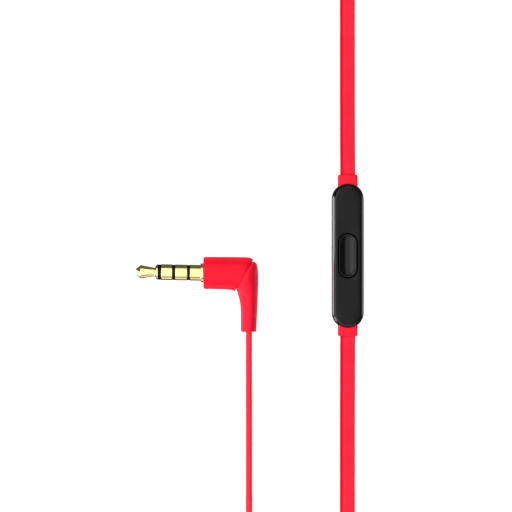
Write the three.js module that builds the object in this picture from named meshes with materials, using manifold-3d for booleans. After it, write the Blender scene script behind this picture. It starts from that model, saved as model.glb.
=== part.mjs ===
// Wired earphones: two in-ear buds, a flat cord with a one-button remote on the right branch,
// a Y splitter, and a right-angled four-pole 3.5 mm plug. Millimetres, +Z up.
//
// Everything lies on the plane Z = 0. The plan below is laid out around a point midway between the
// plug and the remote, with the plug's pin along -X and the remote's length along Y. The last
// lines move it all so that the origin is under the middle of the two earbuds.

import * as THREE from "three";
import { mergeVertices } from "three/addons/utils/BufferGeometryUtils.js";
import Module from "manifold-3d";

const wasm = await Module();
wasm.setup();

// ---- Driving dimensions ----------------------------------------------------------------------

const CORD_WIDTH = 3.3;
const CORD_THICKNESS = 1.4;
const ON_EDGE_Z = CORD_WIDTH / 2;
const FLAT_Z = CORD_THICKNESS / 2;
const FACE_GAP = 0.3;

// Plug: stations are distances from the tip of the pin, along +X.
const PLUG_TIP = new THREE.Vector3(-26.37, -3.65, 3.45);
const PIN_RADIUS = 1.75;
const INSULATOR_RADIUS = 1.7;
const PIN_STATIONS = { tip: 4.83, ring1: [5.6, 7.95], ring2: [8.66, 11.23], sleeve: [11.91, 14.26] };
const SHOULDER = { radius: 2.1, end: 14.78 };
const HOUSING = { radius: 3.45, start: 14.83, bore: 2.75, frontWall: 1.25 };
const PLUG_SEAM = { point: [-2.6, -4.28], alongX: -0.508, alongY: -0.861 };
const ELBOW_END_Y = -16.64;
const PLUG_CORD_X = -1.56;

// Remote, lying on its back with its length along Y.
const REMOTE = { x: 20.17, y: 0.13, width: 7.03, length: 31.82, height: 4.8, split: 2.1 };
const BUTTON = { width: 3.7, length: 9.4, slotWidth: 4.33, slotLength: 10, bottom: 3.65, top: 4.95 };
const BUTTON_TRAVEL = 0.25;
const COLLAR = { width: 4.3, height: 2.8, z: 2.4, proud: 1.7, inside: 2.4 };
const SHELL_WALL = 0.8;

// Hank: a racetrack winding of the cord on edge, held just off the floor by its tie.
const HANK = { x: 18, y: -91.8, run: 60, floor: 0.6, inner: 9.7, outer: 16.4 };
const HANK_Z = HANK.floor + ON_EDGE_Z;
const HANK_LEFT = HANK.x - HANK.run / 2;
const HANK_RIGHT = HANK.x + HANK.run / 2;
const LEFT_BRANCH_RADIUS = 17.3;
const RIGHT_BRANCH_RADIUS = 18.8;
const TIE = { x: 4, width: 5, halfSpan: 20.1, height: 4.7, thickness: 0.5 };

// Splitter, on the outside of the hank's lower run.
const SPLITTER = { x: 32, radius: 20.4, width: 7, length: 24, height: 5.2, split: 2.5 };
const SPLITTER_COLLARS = { mainWidth: 3.4, branchesWidth: 4.9, height: 3.8, z: 2.6 };

// Earbuds, each resting on its flat back.
const LEFT_BUD = new THREE.Vector3(62, 70.8, 0);
const RIGHT_BUD = new THREE.Vector3(47.5, 70.8, 0);
const NOZZLE_LEAN = THREE.MathUtils.degToRad(25);
const NOZZLE_ROOT_Z = 6.5;
const NOZZLE = { radius: 2.5, bore: 1.7, end: 10.5, lipRadius: 2.8, lipStart: 9.4 };
const BUD_RADIUS = 6.5;
const RELIEF_Z = 2.6;
const RELIEF_END = 13.5;

// ---- Finishes --------------------------------------------------------------------------------

const FINISHES = {
  redRubber: { color: 0xff2a44, roughness: 0.45, metalness: 0 },
  redShell: { color: 0xf5143a, roughness: 0.3, metalness: 0 },
  redMetal: { color: 0xd81432, roughness: 0.25, metalness: 0.8 },
  blackShell: { color: 0x26272a, roughness: 0.25, metalness: 0 },
  blackButton: { color: 0x3a3b3e, roughness: 0.3, metalness: 0 },
  gold: { color: 0xe6c878, roughness: 0.2, metalness: 1 },
  insulator: { color: 0x141414, roughness: 0.5, metalness: 0 },
  clearMould: { color: 0xdcdccf, roughness: 0.6, metalness: 0 },
  board: { color: 0x1f5a36, roughness: 0.6, metalness: 0 },
  steel: { color: 0xa8abb0, roughness: 0.35, metalness: 1 },
  magnet: { color: 0x6f7276, roughness: 0.45, metalness: 0.9 },
  copper: { color: 0xb8693a, roughness: 0.4, metalness: 0.9 },
  film: { color: 0xc9d3d8, roughness: 0.25, metalness: 0 },
  silicone: { color: 0xf02540, roughness: 0.55, metalness: 0 },
  strap: { color: 0x1c1c1e, roughness: 0.9, metalness: 0 },
};

function addPart(parent, name, geometry, finish) {
  const part = new THREE.Mesh(geometry, new THREE.MeshStandardMaterial(FINISHES[finish]));
  part.name = name;
  parent.add(part);
  return part;
}

// ---- Solids and booleans ---------------------------------------------------------------------

function toSolid(geometry) {
  const bare = geometry.clone();
  bare.deleteAttribute("normal");
  bare.deleteAttribute("uv");
  const merged = mergeVertices(bare, 1e-4);
  const corners = merged.index.array;
  const kept = [];
  for (let i = 0; i < corners.length; i += 3) {
    const [a, b, c] = [corners[i], corners[i + 1], corners[i + 2]];
    if (a !== b && b !== c && c !== a) kept.push(a, b, c);
  }
  const mesh = new wasm.Mesh({
    numProp: 3,
    vertProperties: new Float32Array(merged.attributes.position.array),
    triVerts: new Uint32Array(kept),
  });
  return new wasm.Manifold(mesh);
}

function toGeometry(solid) {
  const mesh = solid.getMesh();
  const geometry = new THREE.BufferGeometry();
  geometry.setAttribute("position", new THREE.BufferAttribute(mesh.vertProperties, 3));
  geometry.setIndex(new THREE.BufferAttribute(mesh.triVerts, 1));
  geometry.computeVertexNormals();
  return geometry;
}

function subtract(geometry, ...cutters) {
  return toGeometry(cutters.reduce((left, cutter) => left.subtract(toSolid(cutter)), toSolid(geometry)));
}

function join(...geometries) {
  return toGeometry(geometries.map(toSolid).reduce((sum, next) => sum.add(next)));
}

function keepInside(geometry, region) {
  return toGeometry(toSolid(geometry).intersect(toSolid(region)));
}

// A profile is a list of [radius, height], running outward, up and back in.
function revolve(profile, sides) {
  const points = profile.map(([radius, height]) => new THREE.Vector2(radius, height));
  return new THREE.LatheGeometry(points, sides).rotateX(Math.PI / 2);
}

function revolveAlongX(profile, sides) {
  const points = profile.map(([radius, station]) => new THREE.Vector2(radius, station));
  return new THREE.LatheGeometry(points, sides).rotateZ(-Math.PI / 2);
}

function ring(inner, outer, bottom, top) {
  return [[inner, bottom], [outer, bottom], [outer, top], [inner, top], [inner, bottom]];
}

function disc(radius, bottom, top) {
  return [[0, bottom], [radius, bottom], [radius, top], [0, top]];
}

function block(low, high) {
  const size = high.map((value, axis) => value - low[axis]);
  const centre = high.map((value, axis) => (value + low[axis]) / 2);
  return new THREE.BoxGeometry(...size).translate(...centre);
}

// A stadium outline with its length along Y.
function stadium(width, length) {
  const radius = width / 2;
  const reach = length / 2 - radius;
  const outline = new THREE.Shape();
  outline.absarc(0, reach, radius, 0, Math.PI, false);
  outline.absarc(0, -reach, radius, Math.PI, 2 * Math.PI, false);
  outline.closePath();
  return outline;
}

function slab(outline, bottom, top, bevel = 0, curveSegments = 8) {
  const options = {
    depth: top - bottom - 2 * bevel,
    bevelEnabled: bevel > 0,
    bevelThickness: bevel,
    bevelSize: bevel,
    bevelOffset: -bevel,
    bevelSegments: 2,
    curveSegments,
  };
  return new THREE.ExtrudeGeometry(outline, options).translate(0, 0, bottom + bevel);
}

// A solid through closed rings of points, all with the same count, capped at both ends.
function skinRings(rings) {
  const count = rings[0].length;
  const positions = rings.flat().flatMap((point) => [point.x, point.y, point.z]);
  const index = [];
  for (let level = 0; level < rings.length - 1; level++) {
    for (let i = 0; i < count; i++) {
      const a = level * count + i;
      const b = level * count + ((i + 1) % count);
      index.push(a, b, b + count, a, b + count, a + count);
    }
  }
  const last = (rings.length - 1) * count;
  for (let i = 1; i < count - 1; i++) {
    index.push(0, i + 1, i);
    index.push(last, last + i, last + i + 1);
  }
  const geometry = new THREE.BufferGeometry();
  geometry.setAttribute("position", new THREE.Float32BufferAttribute(positions, 3));
  geometry.setIndex(index);
  geometry.computeVertexNormals();
  return geometry;
}

// A ring around the middle of two plan points, upright, `half` high each way.
function uprightRing(left, right, centreZ, half, squareness, count = 20) {
  const middle = [(left[0] + right[0]) / 2, (left[1] + right[1]) / 2];
  const reach = [(right[0] - left[0]) / 2, (right[1] - left[1]) / 2];
  return Array.from({ length: count }, (_, i) => {
    const angle = (2 * Math.PI * i) / count;
    const across = Math.sign(Math.cos(angle)) * Math.abs(Math.cos(angle)) ** (2 / squareness);
    const up = Math.sign(Math.sin(angle)) * Math.abs(Math.sin(angle)) ** (2 / squareness);
    const [x, y] = [middle[0] + reach[0] * across, middle[1] + reach[1] * across];
    return new THREE.Vector3(x, y, centreZ + half * up);
  });
}

// ---- Plug ------------------------------------------------------------------------------------

function makePlug(parent) {
  const pin = new THREE.Group();
  pin.position.copy(PLUG_TIP);
  parent.add(pin);
  const sides = 16;
  const { tip, ring1, ring2, sleeve } = PIN_STATIONS;

  const tipProfile = [
    [0, 0], [0.55, 0.12], [1, 0.45], [1.4, 1.07], [1.36, 1.5], [1.08, 2.6], [0.8, 3.6], [0.72, 4.07],
    [1.3, 4.3], [PIN_RADIUS, 4.57], [PIN_RADIUS, tip], [0.45, tip], [0.45, 19.4], [0, 19.4],
  ];
  addPart(pin, "plug_tip", revolveAlongX(tipProfile, sides), "gold");

  // Each contact and each insulator is a ring on the pin with a tail tube into the housing.
  const poles = [
    { name: "plug_insulator_1", from: tip, to: ring1[0], bore: 0.5, tail: 0.62, end: 18.8 },
    { name: "plug_ring_1", from: ring1[0], to: ring1[1], bore: 0.67, tail: 0.82, end: 18.2 },
    { name: "plug_insulator_2", from: ring1[1], to: ring2[0], bore: 0.87, tail: 0.98, end: 17.6 },
    { name: "plug_ring_2", from: ring2[0], to: ring2[1], bore: 1.03, tail: 1.16, end: 17.0 },
    { name: "plug_insulator_3", from: ring2[1], to: sleeve[0], bore: 1.21, tail: 1.34, end: 16.6 },
  ];
  for (const { name, from, to, bore, tail, end } of poles) {
    const insulates = name.includes("insulator");
    const outer = insulates ? INSULATOR_RADIUS : PIN_RADIUS;
    const profile = [[bore, from], [outer, from], [outer, to], [tail, to], [tail, end], [bore, end], [bore, from]];
    addPart(pin, name, revolveAlongX(profile, sides), insulates ? "insulator" : "gold");
  }

  const neckRadius = 1.68;
  const sleeveProfile = [
    [1.39, sleeve[0]], [PIN_RADIUS, sleeve[0]], [PIN_RADIUS, sleeve[1]], [SHOULDER.radius, sleeve[1]],
    [SHOULDER.radius, SHOULDER.end], [neckRadius, SHOULDER.end], [neckRadius, 16.2], [2.3, 16.2],
    [2.3, 16.8], [1.39, 16.8], [1.39, sleeve[0]],
  ];
  addPart(pin, "plug_sleeve", revolveAlongX(sleeveProfile, sides), "gold");
  addPart(pin, "plug_inner_mould", revolveAlongX(ring(1.5, 2.5, 17.1, 20.6), sides), "clearMould");

  addPart(parent, "plug_housing", plugHousing(), "redShell");
  addPart(parent, "plug_elbow", plugElbow(), "redRubber");
}

// A big block whose near face is the slanting seam, `offset` towards the cord's side of it.
function beyondSeam(offset) {
  const reach = 30;
  const far = block([0, -reach, -reach], [reach, reach, reach]);
  const normalAngle = Math.atan2(PLUG_SEAM.alongX, -PLUG_SEAM.alongY);
  return far.translate(offset, 0, 0).rotateZ(normalAngle).translate(...PLUG_SEAM.point, PLUG_TIP.z);
}

function plugHousing() {
  const { radius, start, bore, frontWall } = HOUSING;
  const sides = 28;
  const edge = 0.35;
  const end = 28;
  const outer = [[0, start], [radius - edge, start], [radius, start + edge], [radius, end], [0, end]];
  const cavity = disc(bore, start + frontWall, end + 1);
  const throat = disc(PIN_RADIUS, start - 1, start + frontWall + 0.1);
  const place = (profile) => revolveAlongX(profile, sides).translate(...PLUG_TIP.toArray());
  return subtract(place(outer), place(cavity), place(throat), beyondSeam(-FACE_GAP / 2));
}

function plugElbow() {
  const z = PLUG_TIP.z;
  const squareness = 2.3;
  const sections = [
    { left: [-4.28, -7.12], right: [-0.85, -1.38], half: 3.3 },
    { left: [-4.12, -7.6], right: [0.1, -1.9], half: 3.25 },
    { left: [-3.98, -8.05], right: [0.4, -3.2], half: 3.1 },
    { left: [-3.84, -8.4], right: [0.46, -4.7], half: 2.95 },
    { left: [-3.62, -9.0], right: [0.44, -6.6], half: 2.8 },
    { left: [-3.42, -9.8], right: [0.38, -8.7], half: 2.65 },
    { left: [-3.28, -10.9], right: [0.31, -10.6], half: 2.55 },
    { left: [-3.2, -12.6], right: [0.2, -12.6], half: 2.45 },
    { left: [-3.22, ELBOW_END_Y], right: [0.0, ELBOW_END_Y], half: 2.35 },
  ];
  const rings = sections.map(({ left, right, half }) => uprightRing(left, right, z, half, squareness));
  return keepInside(skinRings(rings), beyondSeam(FACE_GAP / 2));
}

// ---- Remote ----------------------------------------------------------------------------------

// The cord collar: a block half inside the shell's end and half outside it. `side` is +1 or -1.
function collarBlock(halfLength, side, { width, height, z }, grow = 0) {
  const inner = halfLength - COLLAR.inside - grow;
  const outer = halfLength + COLLAR.proud + grow;
  const low = [-width / 2 - grow, Math.min(side * inner, side * outer), z - height / 2 - grow];
  const high = [width / 2 + grow, Math.max(side * inner, side * outer), z + height / 2 + grow];
  return block(low, high);
}

// Two shells of a pill-shaped case, hollow, with an opening at each end for a collar.
function caseShells({ width, length, height, split }, openings) {
  const bevel = 0.7;
  const pill = slab(stadium(width, length), 0, height, bevel);
  const hollow = slab(
    stadium(width - 2 * SHELL_WALL, length - 2 * SHELL_WALL), SHELL_WALL, height - SHELL_WALL, 0,
  );
  const upper = block([-width, -length, split + 0.05], [width, length, height + 1]);
  const lower = block([-width, -length, -1], [width, length, split]);
  const shell = subtract(pill, hollow, ...openings);
  return { front: keepInside(shell, upper), back: keepInside(shell, lower) };
}

function makeRemote(parent) {
  const remote = new THREE.Group();
  remote.position.set(REMOTE.x, REMOTE.y, 0);
  parent.add(remote);

  const halfLength = REMOTE.length / 2;
  const portGap = 0.1;
  const ports = [1, -1].map((side) => collarBlock(halfLength, side, COLLAR, portGap));
  const shells = caseShells(REMOTE, ports);
  const slot = slab(stadium(BUTTON.slotWidth, BUTTON.slotLength), REMOTE.split, REMOTE.height + 1);
  addPart(remote, "remote_front_cover", subtract(shells.front, slot), "blackShell");

  const micPort = revolve(disc(0.45, -1, SHELL_WALL + 1), 12).translate(0, -9.2, 0);
  addPart(remote, "remote_back_cover", subtract(shells.back, micPort), "blackShell");

  const button = slab(stadium(BUTTON.width, BUTTON.length), BUTTON.bottom, BUTTON.top, 0.2);
  addPart(remote, "remote_button", button, "blackButton");

  const board = { halfWidth: 2.35, halfLength: 11.5, bottom: 1.75, top: 2.4 };
  const boardLow = [-board.halfWidth, -board.halfLength, board.bottom];
  const boardHigh = [board.halfWidth, board.halfLength, board.top];
  addPart(remote, "remote_circuit_board", block(boardLow, boardHigh), "board");

  const switchBody = block([-1.5, -1.5, board.top + 0.05], [1.5, 1.5, 3.2]);
  const well = revolve(disc(0.8, 2.65, 4), 16);
  addPart(remote, "remote_switch_body", subtract(switchBody, well), "steel");
  addPart(remote, "remote_switch_plunger", revolve(disc(0.7, 2.95, 3.6), 16), "blackButton");

  const microphone = block([-1.4, -10.9, SHELL_WALL + 0.05], [1.4, -7.5, board.bottom - 0.05]);
  const micHole = revolve(disc(0.3, 0, 1.2), 12).translate(0, -9.2, 0);
  addPart(remote, "remote_microphone", subtract(microphone, micHole), "steel");

  const collarNames = { 1: "remote_collar_top", "-1": "remote_collar_bottom" };
  for (const side of [1, -1]) {
    addPart(remote, collarNames[side], collarBlock(halfLength, side, COLLAR), "redRubber");
  }
}

// ---- Splitter --------------------------------------------------------------------------------

function makeSplitter(parent) {
  const splitter = new THREE.Group();
  splitter.position.set(SPLITTER.x, HANK.y - SPLITTER.radius, 0);
  splitter.rotation.z = -Math.PI / 2;
  parent.add(splitter);

  // In the splitter's own frame +Y is the end that the main cord enters.
  const halfLength = SPLITTER.length / 2;
  const portGap = 0.15;
  const { mainWidth, branchesWidth } = SPLITTER_COLLARS;
  const main = { ...SPLITTER_COLLARS, width: mainWidth };
  const branches = { ...SPLITTER_COLLARS, width: branchesWidth };
  const ports = [collarBlock(halfLength, 1, main, portGap), collarBlock(halfLength, -1, branches, portGap)];
  const shells = caseShells(SPLITTER, ports);
  addPart(splitter, "splitter_front_cover", shells.front, "blackShell");
  addPart(splitter, "splitter_back_cover", shells.back, "blackShell");
  addPart(splitter, "splitter_collar_main", collarBlock(halfLength, 1, main), "redRubber");
  addPart(splitter, "splitter_collar_branches", collarBlock(halfLength, -1, branches), "redRubber");
}

// ---- Earbuds ---------------------------------------------------------------------------------

function makeBud(parent, side, place, reliefAngle) {
  const bud = new THREE.Group();
  bud.position.copy(place);
  parent.add(bud);
  const sides = 20;
  const add = (name, geometry, finish, group = bud) => addPart(group, `${side}_${name}`, geometry, finish);

  const cupProfile = [
    [0, 0], [5.3, 0], [6.1, 0.5], [BUD_RADIUS, 1.5], [BUD_RADIUS, 5.2],
    [5.6, 5.2], [5.6, 1.3], [5.2, 0.9], [0, 0.9],
  ];
  const reliefSlot = block([4.5, -1.5, 0.95], [8, 1.5, 4.3]).rotateZ(reliefAngle);
  add("rear_cover", subtract(revolve(cupProfile, sides), reliefSlot), "blackShell");
  add("trim_ring", revolve(ring(5.65, 6.65, 5.25, 6.2), sides), "redMetal");

  const relief = add("strain_relief", strainRelief(), "redRubber");
  relief.rotation.z = reliefAngle;

  add("driver_frame", revolve(
    [[3.5, 4.6], [5.5, 4.6], [5.5, 7], [4.9, 7], [4.9, 5.3], [3.5, 5.3], [3.5, 4.6]], sides,
  ), "blackButton");
  add("driver_yoke", revolve(
    [[0, 4], [3.4, 4], [3.4, 6], [2.9, 6], [2.9, 4.5], [0, 4.5]], sides,
  ), "steel");
  add("driver_magnet", revolve(disc(2.1, 4.55, 5.5), 16), "magnet");
  add("driver_top_plate", revolve(disc(2.2, 5.55, 6), 16), "steel");
  add("voice_coil", revolve(ring(2.42, 2.72, 5.3, 6.95), 16), "copper");
  add("diaphragm", revolve(
    [[0, 7.8], [1.5, 7.6], [2.4, 7.0], [3.4, 7.45], [4.3, 7.5], [4.75, 7.3], [4.75, 7.5], [4.3, 7.7],
      [3.4, 7.65], [2.4, 7.2], [1.5, 7.8], [0, 8]], sides,
  ), "film");

  add("front_housing", frontHousing(sides), "blackShell");

  // The nozzle leans from the driver's axis towards +Y, and the mesh and the ear tip sit on it.
  const nozzle = new THREE.Group();
  nozzle.position.z = NOZZLE_ROOT_Z;
  nozzle.rotation.x = -NOZZLE_LEAN;
  bud.add(nozzle);
  add("nozzle_mesh", revolve(disc(NOZZLE.bore - 0.15, 9.6, 9.9), 16), "steel", nozzle);
  add("ear_tip", revolve(earTipProfile(), sides), "silicone", nozzle);
}

function frontHousing(sides) {
  const dome = [
    [0, 6.25], [BUD_RADIUS, 6.25], [BUD_RADIUS, 7.6], [6.1, 8.8],
    [5.2, 9.9], [4, 10.7], [2.6, 11.2], [0, 11.4],
  ];
  const hollow = [[0, 5], [5.6, 5], [5.6, 7.5], [5.25, 8.5], [4.5, 9.4], [3.4, 10], [2, 10.35], [0, 10.5]];
  const tube = [
    [0, 3.2], [NOZZLE.radius, 3.2], [NOZZLE.radius, NOZZLE.lipStart], [NOZZLE.lipRadius, NOZZLE.lipStart + 0.3],
    [NOZZLE.lipRadius, NOZZLE.end - 0.25], [NOZZLE.lipRadius - 0.25, NOZZLE.end], [0, NOZZLE.end],
  ];
  const lean = (profile) => revolve(profile, sides).rotateX(-NOZZLE_LEAN).translate(0, 0, NOZZLE_ROOT_Z);
  const outside = join(revolve(dome, sides), lean(tube));
  return subtract(outside, revolve(hollow, sides), lean(disc(NOZZLE.bore, 2, NOZZLE.end + 1)));
}

function earTipProfile() {
  const stem = 2.92;
  return [
    [stem, 6], [3.6, 6], [3.6, 10.5], [4.6, 10.1], [5.3, 8.7], [5.55, 6.6], [5.5, 5.7], [6.05, 5.6], [6.2, 6.8],
    [5.95, 9.2], [5.2, 11.3], [4, 12.6], [2.7, 13.1], [1.95, 13], [1.75, 12.5], [1.75, 10.8], [stem, 10.8], [stem, 6],
  ];
}

// Along +X: a flange and a neck inside the cover's wall, then a tapering flat sleeve for the cord.
function strainRelief() {
  const flange = block([4.1, -1.7, 1.1], [4.9, 1.7, 4.2]);
  const neck = block([4.5, -1.2, 1.25], [7.2, 1.2, 4.0]);
  const tapers = [
    { at: 6.8, half: 1.7, rise: 2.2 },
    { at: 8.2, half: 1.55, rise: 2.15 },
    { at: RELIEF_END, half: 1.15, rise: 1.95 },
  ];
  const rings = tapers.map(({ at, half, rise }) => uprightRing([at, -half], [at, half], RELIEF_Z, rise, 3.5));
  return join(flange, neck, skinRings(rings));
}

// ---- Cords -----------------------------------------------------------------------------------

function cordSection(upright, across) {
  const corner = 0.4;
  const [u, a] = [upright / 2, across / 2];
  const outline = [
    [u, -a + corner], [u, a - corner], [u - corner, a], [-u + corner, a],
    [-u, a - corner], [-u, -a + corner], [-u + corner, -a], [u - corner, -a],
  ];
  return new THREE.Shape(outline.map(([x, y]) => new THREE.Vector2(x, y)));
}

const ON_EDGE = cordSection(CORD_WIDTH, CORD_THICKNESS);
const LYING_FLAT = cordSection(CORD_THICKNESS, CORD_WIDTH);

// Each route starts level, which sets the section's first direction upright.
function cordTube(section, points, steps) {
  const route = new THREE.CatmullRomCurve3(points.map((point) => new THREE.Vector3(...point)), false, "centripetal");
  return new THREE.ExtrudeGeometry(section, { steps, extrudePath: route });
}

function makeCords(parent) {
  const x = PLUG_CORD_X;
  const fromPlug = [
    [x, ELBOW_END_Y - FACE_GAP, PLUG_TIP.z], [x, -18, PLUG_TIP.z], [x, -19.2, PLUG_TIP.z], [x, -26, 2.7],
    [x, -34, 1.85], [x, -42, ON_EDGE_Z], [x, -50, ON_EDGE_Z], [x, -57, ON_EDGE_Z],
  ];
  addPart(parent, "main_cord", cordTube(ON_EDGE, fromPlug, 8), "redRubber");

  const overHank = [
    [x, -57.3, 1.65], [x, -59, 1.65], [x, -60.7, 1.65], [x, -65, 2.9], [x, -70.5, 4.8], [x, -77, 5],
    [x, -82, 4.9], [x, -85.3, 4.4],
  ];
  addPart(parent, "main_cord_crossing", cordTube(LYING_FLAT, overHank, 8), "redRubber");

  const rx = REMOTE.x;
  const topExit = REMOTE.y + REMOTE.length / 2 + COLLAR.proud + FACE_GAP;
  const bottomExit = REMOTE.y - REMOTE.length / 2 - COLLAR.proud - FACE_GAP;
  const upward = [
    [rx, topExit, COLLAR.z], [rx, topExit + 1.2, COLLAR.z], [rx, topExit + 2.4, COLLAR.z],
    [rx, 28, 1.3], [rx, 36, FLAT_Z], [rx, 46, FLAT_Z], [rx, 57, FLAT_Z],
  ];
  const downward = [
    [rx, bottomExit, COLLAR.z], [rx, bottomExit - 1.2, COLLAR.z], [rx, bottomExit - 2.4, COLLAR.z],
    [rx, -28, 1.3], [rx, -36, FLAT_Z], [rx, -46, FLAT_Z], [rx, -57, FLAT_Z],
  ];
  addPart(parent, "right_cord_upper", cordTube(LYING_FLAT, upward, 6), "redRubber");
  addPart(parent, "right_cord_lower", cordTube(LYING_FLAT, downward, 6), "redRubber");

  // The upper branch turns over to the right earbud; its relief points up and to the left.
  const toRightBud = [
    [rx, 57.3, ON_EDGE_Z], [rx, 60, ON_EDGE_Z], [rx, 63, ON_EDGE_Z], [rx, 68, ON_EDGE_Z], [20.4, 74, ON_EDGE_Z],
    [23.2, 80.6, ON_EDGE_Z], [29.5, 84, 1.75], [35.4, 82.4, 2.3], [37.75, 80.55, RELIEF_Z],
  ];
  addPart(parent, "right_cord_upper_bend", cordTube(ON_EDGE, toRightBud, 14), "redRubber");

  // The lower branch turns in along the hank's upper run.
  const runY = HANK.y + RIGHT_BRANCH_RADIUS;
  const toHank = [
    [rx, -57.3, ON_EDGE_Z], [rx, -59, ON_EDGE_Z], [rx, -61, ON_EDGE_Z], [rx, -64, 1.75],
    [17.5, -70.4, 2.1], [13.9, runY + 0.4, HANK_Z], [11.6, runY, HANK_Z],
  ];
  addPart(parent, "right_cord_lower_bend", cordTube(ON_EDGE, toHank, 7), "redRubber");

  const leftRunY = HANK.y + LEFT_BRANCH_RADIUS;
  const leftX = LEFT_BUD.x;
  const toLeftBud = [
    [11.6, leftRunY, HANK_Z], [15, leftRunY, HANK_Z], [19, leftRunY, HANK_Z], [32, leftRunY, 1.9],
    [44, leftRunY, ON_EDGE_Z], [52, leftRunY + 0.6, ON_EDGE_Z], [59.2, leftRunY + 4.6, ON_EDGE_Z],
    [leftX, leftRunY + 12.5, ON_EDGE_Z], [leftX, -45, ON_EDGE_Z], [leftX, -22, ON_EDGE_Z], [leftX, 3, ON_EDGE_Z],
    [leftX, 28, ON_EDGE_Z], [leftX, 46, 1.85], [leftX, LEFT_BUD.y - RELIEF_END - FACE_GAP, RELIEF_Z],
  ];
  addPart(parent, "left_cord", cordTube(ON_EDGE, toLeftBud, 24), "redRubber");

  // From the hank's outside the main cord runs on into the splitter.
  const splitterY = HANK.y - SPLITTER.radius;
  const collarFace = SPLITTER.x + SPLITTER.length / 2 + COLLAR.proud + FACE_GAP;
  const tailAngles = [-6, -20, -36, -52, -70].map(THREE.MathUtils.degToRad);
  const tail = tailAngles.map((angle, i) => {
    const radius = 17.6 + 0.62 * i;
    return [HANK_RIGHT + radius * Math.cos(angle), HANK.y + radius * Math.sin(angle), HANK_Z];
  });
  tail.push([50, splitterY, HANK_Z], [collarFace, splitterY, SPLITTER_COLLARS.z]);
  addPart(parent, "main_cord_tail", cordTube(ON_EDGE, tail, 7), "redRubber");

  makeHank(parent);
}

// An outline around the hank's two end centres at one radius.
function racetrack(Outline, radius) {
  const outline = new Outline();
  outline.absarc(HANK_RIGHT, HANK.y, radius, -Math.PI / 2, Math.PI / 2, false);
  outline.absarc(HANK_LEFT, HANK.y, radius, Math.PI / 2, (3 * Math.PI) / 2, false);
  outline.closePath();
  return outline;
}

function makeHank(parent) {
  const top = HANK.floor + CORD_WIDTH;
  const turns = racetrack(THREE.Shape, HANK.outer);
  turns.holes.push(racetrack(THREE.Path, HANK.inner));
  addPart(parent, "main_cord_hank", slab(turns, HANK.floor, top, 0, 12), "redRubber");

  // Both branches leave the splitter side by side and round the hank's left end together.
  const inner = LEFT_BRANCH_RADIUS - CORD_THICKNESS / 2;
  const outer = RIGHT_BRANCH_RADIUS + CORD_THICKNESS / 2;
  const start = SPLITTER.x - SPLITTER.length / 2 - COLLAR.proud - FACE_GAP;
  const spread = (outer - inner) / 2;
  const bandEnd = 11.3;
  const band = new THREE.Shape();
  band.moveTo(start, HANK.y - SPLITTER.radius + spread);
  band.lineTo(7, HANK.y - inner);
  band.absarc(HANK_LEFT, HANK.y, inner, (3 * Math.PI) / 2, Math.PI / 2, true);
  band.lineTo(bandEnd, HANK.y + inner);
  band.lineTo(bandEnd, HANK.y + outer);
  band.absarc(HANK_LEFT, HANK.y, outer, Math.PI / 2, (3 * Math.PI) / 2, false);
  band.lineTo(7, HANK.y - outer);
  band.lineTo(start, HANK.y - SPLITTER.radius - spread);
  band.closePath();
  addPart(parent, "branch_cords_hank", slab(band, HANK.floor, top, 0, 12), "redRubber");

  // The tie is a flat strap loop around both runs.
  const { x, width, halfSpan, height, thickness } = TIE;
  const outside = block([x - width / 2, HANK.y - halfSpan, 0], [x + width / 2, HANK.y + halfSpan, height]);
  const reach = halfSpan - thickness;
  const inside = block([x - width, HANK.y - reach, thickness], [x + width, HANK.y + reach, height - thickness]);
  addPart(parent, "cable_tie", subtract(outside, inside), "strap");
}

// ---- Assembly --------------------------------------------------------------------------------

const earphones = new THREE.Group();
const plan = new THREE.Group();
earphones.add(plan);

makeBud(plan, "left", LEFT_BUD, -Math.PI / 2);
makeBud(plan, "right", RIGHT_BUD, (3 * Math.PI) / 4);

// The origin is on the floor under the middle of the two earbuds, strain reliefs left out.
const footprint = new THREE.Box3();
plan.updateMatrixWorld(true);
plan.traverse((part) => {
  if (part.isMesh && !part.name.endsWith("strain_relief")) footprint.expandByObject(part, true);
});
const middle = footprint.getCenter(new THREE.Vector3());
plan.position.set(-middle.x, -middle.y, 0);

makePlug(plan);
makeRemote(plan);
makeSplitter(plan);
makeCords(plan);

export default earphones;
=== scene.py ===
"""Wired earphones: the looks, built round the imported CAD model. Metres, in the model's own frame.

Most shapes are written in millimetres in the plan frame of the CAD source, whose origin is midway
between the plug and the remote; on_plan() takes them to metres in the model's frame.
"""

import math

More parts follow.
